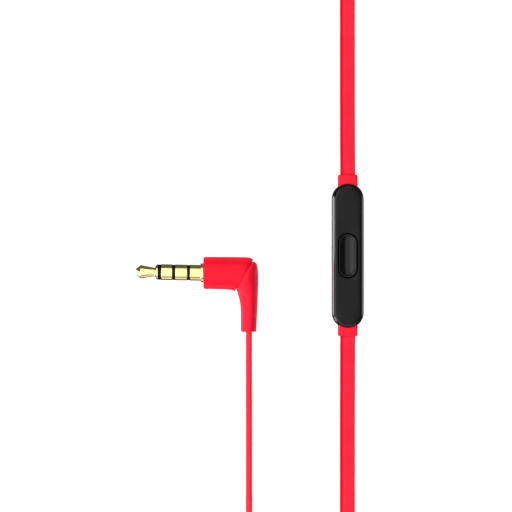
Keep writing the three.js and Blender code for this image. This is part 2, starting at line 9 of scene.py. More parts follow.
import bpy
import numpy as np
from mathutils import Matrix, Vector


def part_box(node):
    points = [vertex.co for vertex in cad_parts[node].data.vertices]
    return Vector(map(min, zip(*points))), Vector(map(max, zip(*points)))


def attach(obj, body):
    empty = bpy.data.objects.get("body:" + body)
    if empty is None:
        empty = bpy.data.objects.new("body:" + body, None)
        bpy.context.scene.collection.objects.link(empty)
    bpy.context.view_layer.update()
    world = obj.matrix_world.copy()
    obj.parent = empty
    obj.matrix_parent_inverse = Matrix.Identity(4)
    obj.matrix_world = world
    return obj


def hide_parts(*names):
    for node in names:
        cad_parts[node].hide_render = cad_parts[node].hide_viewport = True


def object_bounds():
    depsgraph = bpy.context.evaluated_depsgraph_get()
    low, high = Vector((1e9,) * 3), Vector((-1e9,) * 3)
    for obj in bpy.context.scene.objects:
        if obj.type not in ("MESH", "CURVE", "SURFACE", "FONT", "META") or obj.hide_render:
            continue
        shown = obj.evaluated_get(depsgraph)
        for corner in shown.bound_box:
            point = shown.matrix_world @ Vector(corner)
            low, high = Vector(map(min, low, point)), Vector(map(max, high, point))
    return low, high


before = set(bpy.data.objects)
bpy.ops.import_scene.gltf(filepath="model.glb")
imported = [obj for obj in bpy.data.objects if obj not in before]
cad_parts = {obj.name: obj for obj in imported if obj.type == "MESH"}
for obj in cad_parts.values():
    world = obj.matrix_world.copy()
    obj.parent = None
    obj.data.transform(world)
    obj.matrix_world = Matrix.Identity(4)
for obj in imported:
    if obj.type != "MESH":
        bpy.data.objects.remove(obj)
CAD_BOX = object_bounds()

# ---- Driving dimensions, in millimetres ----

MM = 0.001
FIXED = "earphones"

CORD_WIDTH = 3.3
CORD_THICKNESS = 1.36
CORD_CORNER = 0.45
ON_EDGE_Z = CORD_WIDTH / 2
FLAT_Z = 0.7

PLUG_TIP = np.array([-26.37, -3.65, 3.45])
PLUG_CORD_X = -1.56
PIN_RADIUS, BAND_RADIUS = 1.75, 1.68
# The pin leans about one degree: how far its tip is above its axis, and how far it falls each millimetre.
PIN_RISE, PIN_FALL = 0.21, 0.0177
HOUSING_START = 14.83
ELBOW_END_Y = -16.64

REMOTE_X, REMOTE_Y = 20.17, 0.13
REMOTE_WIDTH, REMOTE_LENGTH, REMOTE_HEIGHT = 7.03, 31.82, 4.8
REMOTE_SPLIT = 2.1
SLOT_SIZE = (4.4, 10.04)
PORT_Z = 2.4

HANK_Y = -91.8
HANK_LEFT, HANK_RIGHT = -12.0, 48.0
HANK_Z = 0.6 + ON_EDGE_Z
HANK_INNER_TURN = 10.44
TURN_PITCH = 1.5
LEFT_BRANCH_RADIUS = 17.3
RIGHT_BRANCH_RADIUS = 18.8
TIE_X, TIE_WIDTH = 4.0, 5.0

SPLITTER_X, SPLITTER_Y = 32.0, HANK_Y - 20.4
SPLITTER_WIDTH, SPLITTER_LENGTH, SPLITTER_HEIGHT = 7.0, 24.0, 5.2
SPLITTER_SPLIT = 2.5
SPLITTER_PORT_Z = 2.6

LEFT_BUD, RIGHT_BUD = (62.0, 70.8), (47.5, 70.8)
LEAN = math.radians(25)
NOZZLE_ROOT_Z = 6.5
RELIEF_Z = 2.6
RELIEF_ANGLES = {"left": -math.pi / 2, "right": 3 * math.pi / 4}

# The photograph's view is this wide at the height of the plug's middle.
VIEW_WIDTH = 112.53
LENS, SENSOR = 200.0, 36.0

bud_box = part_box("left_rear_cover")
PLAN_ORIGIN = np.array([
    (bud_box[0][0] + bud_box[1][0]) / 2 / MM - LEFT_BUD[0],
    (bud_box[0][1] + bud_box[1][1]) / 2 / MM - LEFT_BUD[1],
    0.0,
])


def on_plan(points):
    return (np.asarray(points, float) + PLAN_ORIGIN) * MM


# ---- Camera ----

camera = bpy.data.objects.new("camera", bpy.data.cameras.new("camera"))
bpy.context.scene.collection.objects.link(camera)
camera.data.lens = LENS
camera.data.sensor_width = SENSOR
camera.data.clip_end = 20.0
camera_height = PLUG_TIP[2] + VIEW_WIDTH * LENS / SENSOR
camera.location = Vector(on_plan([0.0, 0.0, camera_height]))
bpy.context.scene.camera = camera

# ---- Curves and profiles ----


def spline(points, step):
    """A centripetal Catmull-Rom curve through the points, sampled about every `step`."""
    p = np.asarray(points, float)
    p = np.vstack([2 * p[0] - p[1], p, 2 * p[-1] - p[-2]])
    samples = []
    for a, b, c, d in zip(p, p[1:], p[2:], p[3:]):
        gaps = [math.sqrt(np.linalg.norm((v - u)[:3])) for u, v in ((a, b), (b, c), (c, d))]
        t0, t1 = 0.0, gaps[0]
        t2, t3 = t1 + gaps[1], t1 + gaps[1] + gaps[2]
        count = max(1, math.ceil(np.linalg.norm((c - b)[:3]) / step))
        t = np.linspace(t1, t2, count, endpoint=False)[:, None]
        ab = (t1 - t) / (t1 - t0) * a + (t - t0) / (t1 - t0) * b
        bc = (t2 - t) / (t2 - t1) * b + (t - t1) / (t2 - t1) * c
        cd = (t3 - t) / (t3 - t2) * c + (t - t2) / (t3 - t2) * d
        left = (t2 - t) / (t2 - t0) * ab + (t - t0) / (t2 - t0) * bc
        right = (t3 - t) / (t3 - t1) * bc + (t - t1) / (t3 - t1) * cd
        samples.append((t2 - t) / (t2 - t1) * left + (t - t1) / (t2 - t1) * right)
    samples.append(p[-2][None])
    return np.vstack(samples)


def fillet(corners, radii, steps=5):
    """The closed polyline of 2-D corners with each corner rounded by its radius."""
    corners = np.asarray(corners, float)
    out = []
    for i, (here, radius) in enumerate(zip(corners, radii)):
        if radius <= 0:
            out.append(here)
            continue
        before, after = corners[i - 1] - here, corners[(i + 1) % len(corners)] - here
        reach = [np.linalg.norm(before), np.linalg.norm(after)]
        before, after = before / reach[0], after / reach[1]
        half = math.acos(np.clip(before @ after, -1, 1)) / 2
        cut = min(radius / math.tan(half), 0.49 * min(reach))
        start, end = here + before * cut, here + after * cut
        for t in np.linspace(0, 1, steps + 1):
            out.append((1 - t) ** 2 * start + 2 * t * (1 - t) * here + t**2 * end)
    return np.array(out)


def circle(count):
    angles = np.linspace(0, 2 * math.pi, count, endpoint=False)
    return np.cos(angles), np.sin(angles)


def stadium(width, length, arc=22, side=8):
    """A stadium outline with its length along Y, anticlockwise from its right side."""
    radius = width / 2
    reach = max(length / 2 - radius, 0.01)
    top = np.linspace(0, math.pi, arc)
    run = np.linspace(reach, -reach, side + 2)[1:-1]
    upper = np.c_[radius * np.cos(top), reach + radius * np.sin(top)]
    left = np.c_[np.full(side, -radius), run]
    lower = np.c_[-radius * np.cos(top), -reach - radius * np.sin(top)]
    right = np.c_[np.full(side, radius), -run]
    return np.vstack([upper, left, lower, right])


def rounded_box(width, height, corner, arc=6):
    """A rounded rectangle outline, anticlockwise from its right side."""
    corner = min(corner, width / 2 - 1e-3, height / 2 - 1e-3)
    out = []
    for k, (sx, sy) in enumerate(((1, 1), (-1, 1), (-1, -1), (1, -1))):
        angles = np.linspace(k * math.pi / 2, (k + 1) * math.pi / 2, arc)
        middle = np.array([sx * (width / 2 - corner), sy * (height / 2 - corner)])
        out.append(middle + corner * np.c_[np.cos(angles), np.sin(angles)])
    return np.vstack(out)


def turned(points, angle):
    """The points turned about Z."""
    points = np.asarray(points, float)
    c, s = math.cos(angle), math.sin(angle)
    x, y, z = points[..., 0], points[..., 1], points[..., 2]
    return np.stack([c * x - s * y, s * x + c * y, z], -1)


def leaned(points):
    """From the nozzle's own frame, with its axis along Z, to the earbud's."""
    return turned(points[..., [1, 2, 0]], -LEAN)[..., [2, 0, 1]] + [0.0, 0.0, NOZZLE_ROOT_Z]


def lathe(profile, sides=64):
    """Rings about an upright axis, from (radius, height) pairs."""
    c, s = circle(sides)
    rings = []
    for radius, height in profile:
        radius = max(radius, 0.02)
        rings.append(np.c_[radius * c, radius * s, np.full(sides, height)])
    return np.array(rings)


def section_between(left, right, half, squareness=2.3):
    """An upright superellipse ring at the pin's height, with these points on the plan as its sides."""
    c, s = circle(72)
    power = 2 / squareness
    left, right = np.array(left, float), np.array(right, float)
    across = (right - left) / 2
    u = np.sign(c) * np.abs(c) ** power
    v = half * np.sign(s) * np.abs(s) ** power
    middle = (left + right) / 2
    return np.c_[middle[0] + u * across[0], middle[1] + u * across[1], PLUG_TIP[2] + v]


def smooth_levels(rings, keep=0, steps=3):
    """More rings between the ones after the first `keep`, on a smooth curve through them."""
    lines = [catmull(line, steps) for line in np.swapaxes(rings[keep:], 0, 1)]
    return np.concatenate([rings[:keep], np.stack(lines, 1)])


def catmull(points, steps):
    """A uniform Catmull-Rom curve with `steps` samples between each pair of points."""
    p = np.vstack([2 * points[0] - points[1], points, 2 * points[-1] - points[-2]])
    t = np.linspace(0, 1, steps, endpoint=False)[:, None]
    out = []
    for a, b, c, d in zip(p, p[1:], p[2:], p[3:]):
        out.append(0.5 * (2 * b + (c - a) * t + (2 * a - 5 * b + 4 * c - d) * t**2
                          + (3 * b - a - 3 * c + d) * t**3))
    return np.vstack(out + [points[-1][None]])


# ---- Meshes ----


def frames(line):
    """Unit vectors along a line, to its side on the plan, and upright."""
    along = np.gradient(line, axis=0)
    along /= np.linalg.norm(along, axis=1)[:, None]
    side = np.cross(along, [0.0, 0.0, 1.0])
    side /= np.linalg.norm(side, axis=1)[:, None]
    return along, side, np.cross(side, along)


def swept(line, section, across, up):
    """Rings along a line, each with the section's points laid out on two directions."""
    return line[:, None] + section[None, :, :1] * across[:, None] + section[None, :, 1:] * up[:, None]


def shell_mesh(name, shells, closed=False):
    """A mesh of tubes through rings of points on the plan, each ring of a tube with the same count.
    A tube is capped at both ends, or with `closed` joined from its last ring to its first."""
    vertices, faces = [], []
    for rings in shells:
        base = len(vertices)
        levels, count = rings.shape[:2]
        vertices += on_plan(rings.reshape(-1, 3)).tolist()
        for i in range(levels if closed else levels - 1):
            a, b = base + i * count, base + (i + 1) % levels * count
            for j in range(count):
                k = (j + 1) % count
                faces.append((a + j, a + k, b + k, b + j))
        if not closed:
            faces.append(tuple(range(base, base + count))[::-1])
            faces.append(tuple(range(len(vertices) - count, len(vertices))))
    mesh = bpy.data.meshes.new(name)
    mesh.from_pydata(vertices, [], faces)
    return mesh


def skin(name, rings, material, body=FIXED, closed=False, **about):
    """A piece with one tube as its surface."""
    rings = np.asarray(rings, float)
    mesh = shell_mesh(name, [rings], closed)
    add_lengthwise_uv(mesh, rings)
    return finish_piece(name, mesh, material, body, **about)


def add_lengthwise_uv(mesh, rings):
    """UV in metres: U along the rings and V round each ring."""
    count = rings.shape[1]
    along = np.r_[0, np.cumsum(np.linalg.norm(np.diff(rings.mean(1), axis=0), axis=1))]
    round_it = np.linalg.norm(rings[0] - np.roll(rings[0], 1, axis=0), axis=1)
    around = np.r_[0, np.cumsum(round_it[1:])]
    corners = np.empty(len(mesh.loops), int)
    sizes = np.empty(len(mesh.polygons), int)
    mesh.loops.foreach_get("vertex_index", corners)
    mesh.polygons.foreach_get("loop_total", sizes)
    station, place = corners // count, corners % count
    # The face that closes a ring runs on to the full way round, not back to nothing.
    face = np.repeat(np.arange(len(sizes)), sizes)
    closing = np.zeros(len(sizes), bool)
    closing[face[place == count - 1]] = True
    v = np.where((place == 0) & closing[face], round_it.sum(), around[place])
    layer = mesh.uv_layers.new(name="lengthwise")
    uv = np.c_[along[station], v] * MM
    layer.data.foreach_set("uv", uv.ravel())


def finish_piece(name, mesh, material, body, replaces=(), slot=None, sharp=38):
    mesh.validate()
    mesh.polygons.foreach_set("use_smooth", [True] * len(mesh.polygons))
    mesh.set_sharp_from_angle(angle=math.radians(sharp))
    mesh.materials.append(material)
    piece = bpy.data.objects.new(name, mesh)
    bpy.context.scene.collection.objects.link(piece)
    face_outward(piece)
    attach(piece, body)
    if replaces:
        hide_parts(*([replaces] if isinstance(replaces, str) else replaces))
    return piece


def face_outward(piece):
    """Turns the faces over if the closed surface encloses a negative volume."""
    mesh = piece.data
    mesh.calc_loop_triangles()
    points = np.array([v.co[:] for v in mesh.vertices])
    corners = np.array([t.vertices[:] for t in mesh.loop_triangles])
    a, b, c = points[corners[:, 0]], points[corners[:, 1]], points[corners[:, 2]]
    if np.einsum("ij,ij->i", a, np.cross(b, c)).sum() < 0:
        mesh.flip_normals()


# ---- Materials ----


def linear(red, green, blue):
    """sRGB 0 to 255 as a linear colour."""
    def channel(value):
        value /= 255
        return value / 12.92 if value <= 0.04045 else ((value + 0.055) / 1.055) ** 2.4
    return (channel(red), channel(green), channel(blue), 1.0)


class Nodes:
    """The shader nodes of a material or of the world."""

    def __init__(self, owner):
        owner.use_nodes = True
        self.tree = owner.node_tree
        self.place = self.tree.nodes.new("ShaderNodeTexCoord").outputs

    def put(self, value, socket):
        """Links another node's output to the socket, or sets the socket to a plain value."""
        if isinstance(value, bpy.types.NodeSocket):
            self.tree.links.new(value, socket)
        else:
            socket.default_value = value

    def fill(self, node, **values):
        """Puts each value in the input that it names, such as base_color in Base Color."""
        for key, value in values.items():
            self.put(value, node.inputs[key.replace("_", " ").title().replace("Ior", "IOR")])
        return node

    def node(self, kind, **values):
        return self.fill(self.tree.nodes.new(f"ShaderNode{kind}"), **values)

    def calc(self, operation, a, b=0.0):
        node = self.node("Math")
        node.operation = operation
        self.put(a, node.inputs[0])
        self.put(b, node.inputs[1])
        return node.outputs["Value"]


class Surface(Nodes):
    """A procedural material: a Principled shader with layers of noise added to it."""

    def __init__(self, name, colour, roughness, **shader):
        self.material = bpy.data.materials.new(name)
        super().__init__(self.material)
        self.normal = None
        self.set(base_color=colour, roughness=roughness, **shader)

    def set(self, **values):
        self.fill(self.tree.nodes["Principled BSDF"], **values)

    def noise(self, scale, detail=3.0, stretch=None):
        source = self.place["Object"]
        if stretch:
            source = self.node("Mapping", vector=source, scale=stretch).outputs["Vector"]
        return self.node("TexNoise", vector=source, scale=scale, detail=detail).outputs["Fac"]

    def wave(self, scale, direction, distortion=0.0, coordinate="Object"):
        source = self.place[coordinate]
        texture = self.node("TexWave", vector=source, scale=scale, distortion=distortion)
        texture.bands_direction = direction
        return texture.outputs["Fac"]

    def across_cord(self):
        """0 on one narrow side of the cord, 1 on the other, from V, the way round its section."""
        half_way_round = CORD_WIDTH + CORD_THICKNESS - CORD_CORNER * (4 - math.pi)
        middle_of_side = CORD_THICKNESS / 2 - CORD_CORNER
        turn = math.pi / half_way_round
        v = self.node("SeparateXYZ", vector=self.place["UV"]).outputs["Y"]
        angle = self.calc("ADD", self.calc("MULTIPLY", v, turn / MM), turn * middle_of_side)
        return self.calc("ADD", self.calc("MULTIPLY", self.calc("COSINE", angle), 0.5), 0.5)

    def stops(self, factor, *stops):
        """A colour for the factor, from (position, colour) pairs."""
        node = self.node("ValToRGB", fac=factor)
        elements = node.color_ramp.elements
        for _ in stops[2:]:
            elements.new(0.5)
        for element, (position, _) in zip(elements, stops):
            element.position = position
        for element, (_, colour) in zip(elements, stops):
            element.color = colour
        return node.outputs["Color"]

    def mottled(self, factor, colour_a, colour_b, low=0.35, high=0.65):
        """The colour drifts between two tones as the factor does."""
        self.set(base_color=self.stops(factor, (low, colour_a), (high, colour_b)))

    def smudged(self, factor, low, high):
        """The roughness drifts between two values as the factor does."""
        spread = self.node("MapRange", value=factor, from_min=0.3, from_max=0.7, to_min=low, to_max=high)
        self.set(roughness=spread.outputs["Result"])

    def bumped(self, factor, strength, height_mm):
        """Adds relief to any that the surface already has."""
        bump = self.node("Bump", height=factor, strength=strength, distance=height_mm * MM)
        if self.normal:
            self.fill(bump, normal=self.normal)
        self.normal = bump.outputs["Normal"]
        self.set(normal=self.normal)


def red(level, green, blue):
    """A linear colour for the red parts, from its three channels."""
    return (level, green, blue, 1.0)


def red_cord():
    """Soft red, with painted shade and less shine along one of the flat cord's narrow sides, and a painted
    highlight along the other.
    """
    s = Surface("red_cord", red(0.72, 0.004, 0.026), 0.42)
    s.smudged(s.noise(900), 0.36, 0.5)
    s.bumped(s.wave(700, "Y", coordinate="UV"), 0.18, 0.01)
    s.bumped(s.noise(5200), 0.25, 0.012)
    across, positions = s.across_cord(), (0.1, 0.18, 0.8, 0.9)
    # Painted light: the bright tone is a painted highlight on one narrow side and the deep tone painted
    # shade on the other; the specular level is raised and lowered with them.
    face, bright, painted_shade_red = red(0.8, 0.004, 0.032), red(0.84, 0.005, 0.034), red(0.62, 0.001, 0.012)
    colour = s.stops(across, *zip(positions, (bright, face, face, painted_shade_red)))
    painted_sheen_level = s.stops(across, *zip(positions, [(level,) * 4 for level in (0.29, 0.2, 0.2, 0.02)]))
    drift = s.stops(s.noise(260), (0.35, (0.94, 0.85, 0.88, 1.0)), (0.65, (1.0, 1.0, 1.0, 1.0)))
    blend = s.node("Mix")
    blend.data_type = "RGBA"
    blend.blend_type = "MULTIPLY"
    s.fill(blend, factor=1.0, a=colour, b=drift)
    s.set(base_color=blend.outputs["Result"], specular_ior_level=painted_sheen_level)
    return s.material


def red_shell():
    s = Surface("red_shell", red(0.84, 0.001, 0.022), 0.34, specular_ior_level=0.15)
    s.mottled(s.noise(300), red(0.81, 0.001, 0.02), red(0.87, 0.0015, 0.025))
    s.smudged(s.noise(1200), 0.28, 0.4)
    s.bumped(s.noise(7000), 0.2, 0.01)
    return s.material


def red_rubber():
    s = Surface("red_rubber", red(0.84, 0.001, 0.022), 0.38, specular_ior_level=0.2)
    s.mottled(s.noise(240), red(0.81, 0.001, 0.02), red(0.87, 0.002, 0.026))
    s.smudged(s.noise(1500), 0.4, 0.55)
    s.bumped(s.noise(4800), 0.3, 0.015)
    return s.material


def ear_tip_silicone():
    s = Surface("ear_tip_silicone", red(0.6, 0.006, 0.03), 0.5, specular_ior_level=0.35,
                subsurface_weight=0.2, subsurface_scale=0.002)
    s.mottled(s.noise(220), red(0.56, 0.005, 0.025), red(0.64, 0.008, 0.036))
    s.smudged(s.noise(800), 0.42, 0.6)
    s.bumped(s.noise(3200), 0.15, 0.012)
    return s.material


def black_gloss():
    s = Surface("black_gloss", linear(5, 5, 6), 0.12, specular_ior_level=0.36)
    s.mottled(s.noise(400), linear(4, 4, 5), linear(8, 8, 9))
    s.smudged(s.noise(520, 5.0), 0.09, 0.16)
    s.bumped(s.noise(900), 0.06, 0.01)
    return s.material


def black_satin():
    s = Surface("black_satin", linear(10, 10, 11), 0.36, specular_ior_level=0.17)
    s.mottled(s.noise(300), linear(8, 8, 9), linear(12, 12, 13))
    s.smudged(s.noise(700, 5.0), 0.32, 0.42)
    s.bumped(s.noise(8000), 0.1, 0.006)
    return s.material


def black_button():
    s = Surface("black_button", linear(3, 3, 4), 0.27, specular_ior_level=0.28)
    s.mottled(s.noise(500), linear(2, 2, 3), linear(5, 5, 6))
    s.smudged(s.noise(900, 4.0), 0.22, 0.32)
    s.bumped(s.noise(6500), 0.1, 0.008)
    return s.material


def gold_plate():
    s = Surface("gold_plate", linear(248, 232, 158), 0.13, metallic=1.0)
    s.mottled(s.noise(500), linear(245, 227, 148), linear(251, 238, 170))
    s.smudged(s.noise(2600, stretch=(6.0, 1.0, 1.0)), 0.1, 0.18)
    s.bumped(s.noise(2600, stretch=(8.0, 0.6, 0.6)), 0.04, 0.01)
    return s.material


def black_insulator():
    s = Surface("black_insulator", linear(8, 7, 7), 0.4, specular_ior_level=0.15)
    s.mottled(s.noise(700), linear(5, 5, 4), linear(12, 11, 10))
    s.bumped(s.noise(6000), 0.2, 0.01)
    return s.material


def red_anodised():
    s = Surface("red_anodised", linear(214, 20, 44), 0.25, metallic=0.85)
    s.mottled(s.noise(350), linear(198, 14, 36), linear(226, 28, 54))
    s.smudged(s.noise(2400, stretch=(0.6, 0.6, 9.0)), 0.18, 0.34)
    s.bumped(s.noise(3000, stretch=(0.4, 0.4, 8.0)), 0.15, 0.01)
    return s.material


def stamped_steel():
    s = Surface("stamped_steel", linear(196, 198, 202), 0.3, metallic=1.0)
    s.mottled(s.noise(600), linear(180, 182, 187), linear(208, 210, 214))
    s.smudged(s.noise(1800, stretch=(1.0, 7.0, 1.0)), 0.22, 0.42)
    s.bumped(s.noise(2600, stretch=(1.0, 9.0, 1.0)), 0.12, 0.01)
    return s.material


def nickel_magnet():
    s = Surface("nickel_magnet", linear(150, 151, 155), 0.35, metallic=1.0)
    s.mottled(s.noise(900), linear(138, 139, 143), linear(160, 161, 166))
    s.bumped(s.noise(3800), 0.15, 0.01)
    return s.material


def wound_copper():
    s = Surface("wound_copper", linear(196, 112, 62), 0.35, metallic=1.0)
    s.mottled(s.noise(1200), linear(182, 98, 50), linear(206, 124, 72))
    s.bumped(s.wave(1600, "Z"), 0.5, 0.04)
    return s.material


def driver_film():
    s = Surface("driver_film", linear(206, 214, 218), 0.22, transmission_weight=0.3)
    s.mottled(s.noise(700), linear(198, 206, 211), linear(214, 221, 225))
    s.bumped(s.wave(420, "Z"), 0.2, 0.02)
    return s.material


def solder_mask():
    s = Surface("solder_mask", linear(8, 30, 18), 0.35)
    s.mottled(s.noise(1500, 1.0), linear(6, 22, 14), linear(14, 44, 28), 0.48, 0.52)
    s.bumped(s.noise(1500, 1.0), 0.25, 0.03)
    return s.material


def milky_mould():
    s = Surface("milky_mould", linear(226, 226, 214), 0.4, subsurface_weight=0.4, subsurface_scale=0.001)
    s.mottled(s.noise(500), linear(218, 217, 203), linear(232, 232, 222))
    s.bumped(s.noise(2000), 0.12, 0.02)
    return s.material


def woven_strap():
    s = Surface("woven_strap", linear(30, 30, 32), 0.85, sheen_weight=0.4, sheen_roughness=0.5)
    s.mottled(s.noise(2400), linear(20, 20, 22), linear(44, 44, 47))
    s.bumped(s.wave(900, "X", 1.5, "UV"), 0.7, 0.06)
    s.bumped(s.wave(900, "Y", 1.5, "UV"), 0.6, 0.05)
    return s.material


def studio_floor():
    """A pale sheet, lit a little from below."""
    s = Surface("studio_floor", (0.8, 0.8, 0.8, 1.0), 0.9, specular_ior_level=0.1,
                emission_color=(1.0, 1.0, 1.0, 1.0), emission_strength=0.6)
    s.mottled(s.noise(3.0), (0.795, 0.795, 0.795, 1.0), (0.805, 0.805, 0.805, 1.0))
    return s.material


CORD = red_cord()
SHELL = red_shell()
RUBBER = red_rubber()
SILICONE = ear_tip_silicone()
BLACK = black_gloss()
SATIN = black_satin()
BUTTON = black_button()
GOLD = gold_plate()
INSULATOR = black_insulator()
ANODISED = red_anodised()
STEEL = stamped_steel()
STRAP = woven_strap()
MOULD, BOARD = milky_mould(), solder_mask()
MAGNET, COPPER, FILM = nickel_magnet(), wound_copper(), driver_film()

# ---- Cords ----

# Each control point is (x, y, z, roll): roll 0 stands the flat cord on edge, 90 lays it flat.
SPACING = 1.0


def sweep_cord(name, controls, replaces, turned_over=False):
    """The flat cord along a route: its piece and its centreline in metres."""
    route = spline(controls, SPACING)
    line, roll = route[:, :3], np.radians(route[:, 3:])
    # No part of the cord dips into what it lies on.
    wide_reach, thin_reach = CORD_WIDTH / 2 - CORD_CORNER, CORD_THICKNESS / 2 - CORD_CORNER
    lowest = wide_reach * np.cos(roll) + thin_reach * np.sin(roll) + CORD_CORNER
    line[:, 2:] = np.maximum(line[:, 2:], lowest)
    along, side, up = frames(line)
    wide = np.cos(roll) * up + np.sin(roll) * side
    # Turning the cord over swaps the narrow sides that carry the painted shade and the painted highlight.
    if turned_over:
        wide = -wide
    section = rounded_box(CORD_WIDTH, CORD_THICKNESS, CORD_CORNER)
    rings = swept(line, section, wide, np.cross(along, wide))
    piece = skin(name, rings, CORD, replaces=replaces, slot="red_cord", sharp=60)
    return piece, on_plan(line)


def hank_side(radii, first, last, centre_x):
    """Points round one end of the hank, one for each radius, between two angles in degrees."""
    angles = np.radians(np.linspace(first, last, len(radii)))
    x = centre_x + radii * np.cos(angles)
    y = HANK_Y + radii * np.sin(angles)
    return [(a, b, HANK_Z, 0) for a, b in zip(x, y)]


def hank_run(radii, side):
    """Points along a straight run, without its ends; side is +1 for the upper one, which goes right."""
    share = np.linspace(0, 1, 6)[1:-1]
    first, last = (HANK_LEFT, HANK_RIGHT)[::side]
    x = first + share * (last - first)
    radius = radii[0] + share * (radii[1] - radii[0])
    return [(a, HANK_Y + side * r, HANK_Z, 0) for a, r in zip(x, radius)]


def main_cord_route():
    """From inside the plug's elbow to inside the splitter's collar."""
    x = PLUG_CORD_X
    points = [
        (x, -14.9, 3.45, 0), (x, -16.94, 3.45, 0), (x, -19.2, 3.4, 0), (x, -26, 2.7, 0),
        (x, -34, 1.85, 0), (x, -42, ON_EDGE_Z, 0), (x, -50, ON_EDGE_Z, 0), (x, -57, ON_EDGE_Z, 0),
        (x, -60.5, 1.85, 18), (x, -65, 3.0, 60), (x, -70.5, 4.65, 88), (x, -77, 4.8, 90),
        (x, -81.5, 4.7, 88), (x, -85.2, 4.2, 66), (x, -89.2, 3.1, 30),
    ]
    points += hank_side(np.full(5, HANK_INNER_TURN), -8, -90, HANK_LEFT)
    radius = HANK_INNER_TURN

    # A quarter of a turn's growth falls on each end and on each run.
    def growing(quarters, steps=2):
        return radius + TURN_PITCH / 4 * np.linspace(quarters, quarters + 1, steps)

    for _ in range(3):
        points += hank_side(growing(0, 7), -105, -255, HANK_LEFT)
        points += hank_run(growing(1), 1)
        points += hank_side(growing(2, 9), 90, -90, HANK_RIGHT)
        points += hank_run(growing(3), -1)
        radius += TURN_PITCH
    points += hank_side(growing(0, 7), -105, -255, HANK_LEFT)
    points += hank_run(growing(1), 1)
    # The outermost end swings out to meet the splitter.
    swing_at, swing_radii = (-90, -70, -30, 0, 40, 90), (20.4, 20.1, 18.6, 17.5, 16.3, 15.7)
    swing = np.interp(np.linspace(90, -90, 10), swing_at, swing_radii)
    points += hank_side(swing, 90, -90, HANK_RIGHT)
    points += [(46.0, SPLITTER_Y, SPLITTER_PORT_Z, 0), (43.9, SPLITTER_Y, SPLITTER_PORT_Z, 0)]
    return points


def branch_half_turn(radius, offset):
    """From the hank's upper run, round its left end, to inside the splitter's other collar."""
    upper, lower, port_y = HANK_Y + radius, HANK_Y - radius, SPLITTER_Y + offset
    points = [(x, upper, HANK_Z, 0) for x in (11.6, 3.0, -5.0)]
    points += hank_side(np.full(13, radius), 90, 270, HANK_LEFT)
    points += [(-4.0, lower, HANK_Z, 0), (4.0, lower, HANK_Z, 0), (8.0, lower - 0.15, HANK_Z, 0)]
    return points + [(x, port_y, SPLITTER_PORT_Z, 0) for x in (17.4, 20.4)]


def left_cord_route():
    """From inside the left earbud's strain relief to the splitter."""
    x = LEFT_BUD[0]
    run_y = HANK_Y + LEFT_BRANCH_RADIUS
    points = [
        (x, LEFT_BUD[1] - 11.8, RELIEF_Z, 0), (x, 57.0, RELIEF_Z, 0), (x, 46, 1.85, 0),
        (x, 28, ON_EDGE_Z, 0), (x, 3, ON_EDGE_Z, 0), (x, -22, ON_EDGE_Z, 0), (x, -45, ON_EDGE_Z, 0),
        (x, run_y + 12.5, ON_EDGE_Z, 0), (59.2, run_y + 4.6, ON_EDGE_Z, 0), (52, run_y + 0.6, ON_EDGE_Z, 0),
        (44, run_y, ON_EDGE_Z, 0), (32, run_y, 1.9, 0), (19, run_y, HANK_Z, 0),
    ]
    return points + branch_half_turn(LEFT_BRANCH_RADIUS, 0.8)


def right_lower_route():
    """From inside the remote's lower collar to the splitter."""
    x = REMOTE_X
    run_y = HANK_Y + RIGHT_BRANCH_RADIUS
    points = [
        (x, -15.6, PORT_Z, 90), (x, -17.8, PORT_Z, 90), (x, -20, 2.3, 90), (x, -28, 1.3, 90),
        (x, -36, FLAT_Z, 90), (x, -46, FLAT_Z, 90), (x, -57, FLAT_Z, 90), (x, -60.5, 1.1, 70),
        (x - 0.1, -64.3, 1.6, 34), (17.5, -70.4, 2.1, 4), (13.9, run_y + 0.4, HANK_Z, 0),
    ]
    return points + branch_half_turn(RIGHT_BRANCH_RADIUS, -0.8)


def right_upper_route():
    """From inside the right earbud's strain relief to inside the remote's upper collar."""
    x = REMOTE_X
    return [
        (39.0, 79.3, RELIEF_Z, 0), (37.75, 80.55, RELIEF_Z, 0), (35.4, 82.4, 2.3, 0), (29.5, 84, 1.75, 0),
        (23.2, 80.6, ON_EDGE_Z, 0), (20.4, 74, ON_EDGE_Z, 0), (x, 68, 1.6, 30), (x, 63, 1.15, 68),
        (x, 58, FLAT_Z, 90), (x, 46, FLAT_Z, 90), (x, 36, FLAT_Z, 90), (x, 28, 1.3, 90),
        (x, 20.4, 2.3, 90), (x, 18.1, PORT_Z, 90), (x, 15.9, PORT_Z, 90),
    ]


main_cord, main_line = sweep_cord(
    "flat_main_cord", main_cord_route(),
    ("main_cord", "main_cord_crossing", "main_cord_hank", "main_cord_tail"),
    turned_over=True,
)
left_cord, left_line = sweep_cord("flat_left_cord", left_cord_route(), ("left_cord", "branch_cords_hank"))
right_lower, right_lower_line = sweep_cord(
    "flat_right_cord_lower", right_lower_route(), ("right_cord_lower", "right_cord_lower_bend"),
)
right_upper, right_upper_line = sweep_cord(
    "flat_right_cord_upper", right_upper_route(), ("right_cord_upper", "right_cord_upper_bend"),
)

# ---- Plug ----


def along_plug(profile):
    """Rings round the pin's leaning axis, from (radius, station from its tip) pairs."""
    rings = lathe(profile, 56)[..., [2, 0, 1]]
    rings[..., 1] += PIN_RISE - PIN_FALL * rings[..., 0]
    return rings + PLUG_TIP


def contact_profile(start, end, bevel=0.03):
    outer, middle, inner = PIN_RADIUS, PIN_RADIUS - bevel, PIN_RADIUS - 3 * bevel
    return [
        (inner, start), (middle, start), (outer, start + bevel),
        (outer, end - bevel), (middle, end), (inner, end),
    ]


